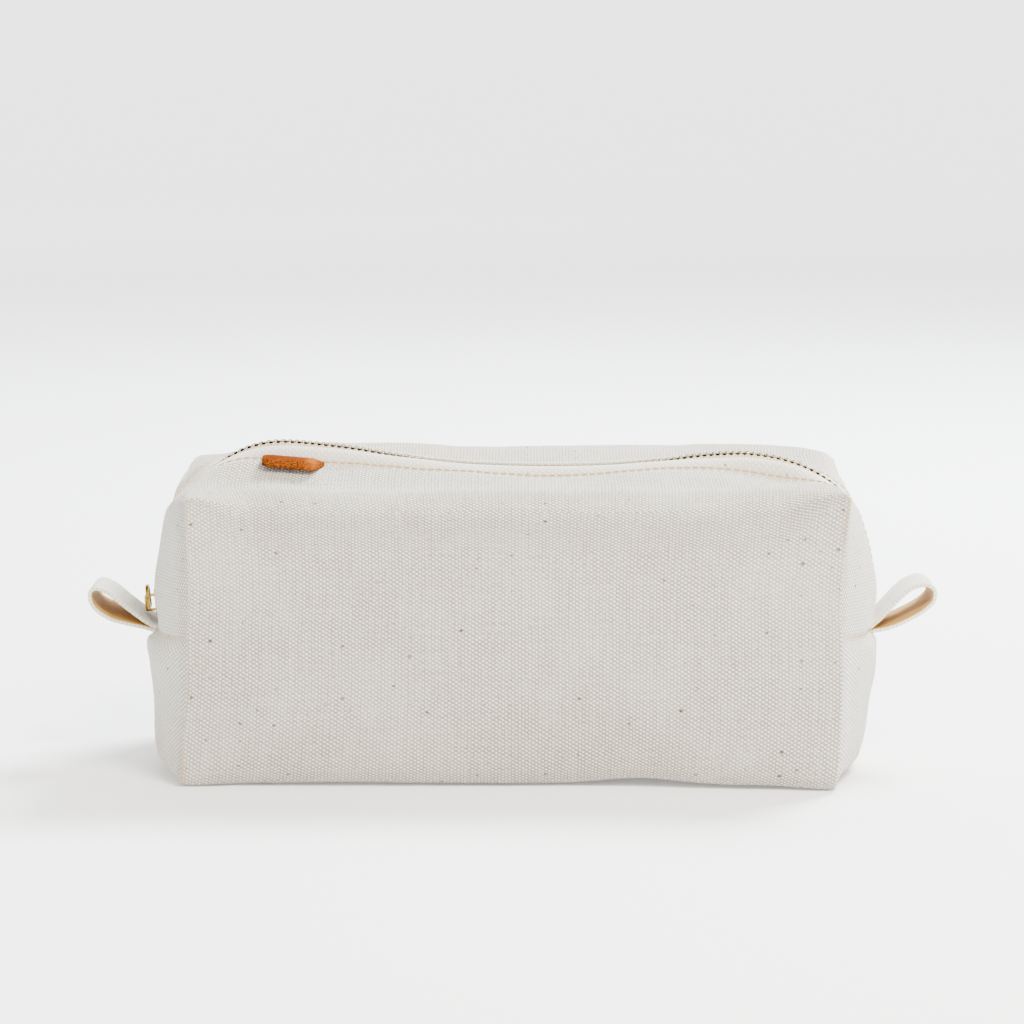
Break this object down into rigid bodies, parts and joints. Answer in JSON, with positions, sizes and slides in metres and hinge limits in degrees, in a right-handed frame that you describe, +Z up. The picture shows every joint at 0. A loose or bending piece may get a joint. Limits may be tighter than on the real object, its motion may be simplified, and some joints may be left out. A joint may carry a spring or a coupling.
{
  "type": "shaving kit bag",
  "caption": "Boxed canvas shaving kit bag with a metal zip over its top and down both ends, a cloth loop at each end and a leather tab beside the zip.",
  "frame": {"origin": "middle of the base, on the plane that the bag stands on", "axes": "+X along the bag towards its right end, +Y towards the back face, +Z up"},
  "size_m": [0.3228, 0.112, 0.1201],
  "materials": {
    "canvas": "matte",
    "backing": "matte",
    "zip_tape": "matte",
    "brass": "satin",
    "thread": "matte",
    "binding": "matte",
    "leather": "satin"
  },
  "bodies": {
    "bag": {"front_canvas": "canvas", "back_canvas": "canvas", "front_lining": "backing", "back_lining": "backing", "front_zip_tape": "zip_tape", "back_zip_tape": "zip_tape", "front_left_teeth": "brass", "back_left_teeth": "brass", "front_right_teeth": "brass", "back_right_teeth": "brass", "front_stitching": "thread", "back_stitching": "thread", "base_seam_binding": "binding", "left_end_binding": "binding", "right_end_binding": "binding", "front_left_corner_binding": "binding", "front_right_corner_binding": "binding", "back_left_corner_binding": "binding", "back_right_corner_binding": "binding"},
    "front_flap": {"front_flap_canvas": "canvas", "front_flap_lining": "backing", "front_flap_tape": "zip_tape", "front_flap_teeth": "brass", "front_flap_stitching": "thread"},
    "back_flap": {"back_flap_canvas": "canvas", "back_flap_lining": "backing", "back_flap_tape": "zip_tape", "back_flap_teeth": "brass", "back_flap_stitching": "thread"},
    "slider": {"slider_body": "brass", "slider_crown": "brass"},
    "puller": {"pull_ring": "brass"},
    "left_end_loop": {"left_loop": "canvas"},
    "right_end_loop": {"right_loop": "canvas"},
    "tab": {"leather_tab": "leather"}
  },
  "joints": [
    {"name": "slider_ride", "type": "hinge", "parent": "bag", "child": "slider", "pos_m": [-0.086, 0, 0.066], "axis": [0, 1, 0], "range_deg": [0, 40], "deforming": ["front_left_teeth", "back_left_teeth"]},
    {"name": "puller_swing", "type": "hinge", "parent": "slider", "child": "puller", "pos_m": [-0.13843, 0, 0.05842], "axis": [0, -1, 0], "range_deg": [0, 45]},
    {"name": "front_flap_open", "type": "hinge", "parent": "bag", "child": "front_flap", "pos_m": [0, -0.05, 0.11028], "axis": [1, 0, 0], "range_deg": [0, 90]},
    {"name": "back_flap_open", "type": "hinge", "parent": "bag", "child": "back_flap", "pos_m": [0, 0.05, 0.11028], "axis": [-1, 0, 0], "range_deg": [0, 90]},
    {"name": "left_loop_swing", "type": "hinge", "parent": "bag", "child": "left_end_loop", "pos_m": [-0.1359, 0, 0.049], "axis": [0, 1, 0], "range_deg": [-60, 3], "stiffness_Nm_per_rad": 0.01},
    {"name": "right_loop_swing", "type": "hinge", "parent": "bag", "child": "right_end_loop", "pos_m": [0.1359, 0, 0.049], "axis": [0, -1, 0], "range_deg": [-60, 18], "stiffness_Nm_per_rad": 0.01},
    {"name": "leather_tab_lift", "type": "hinge", "parent": "bag", "child": "tab", "pos_m": [0, -0.0085, 0.1167], "axis": [-1, 0, 0], "range_deg": [0, 75]}
  ]
}
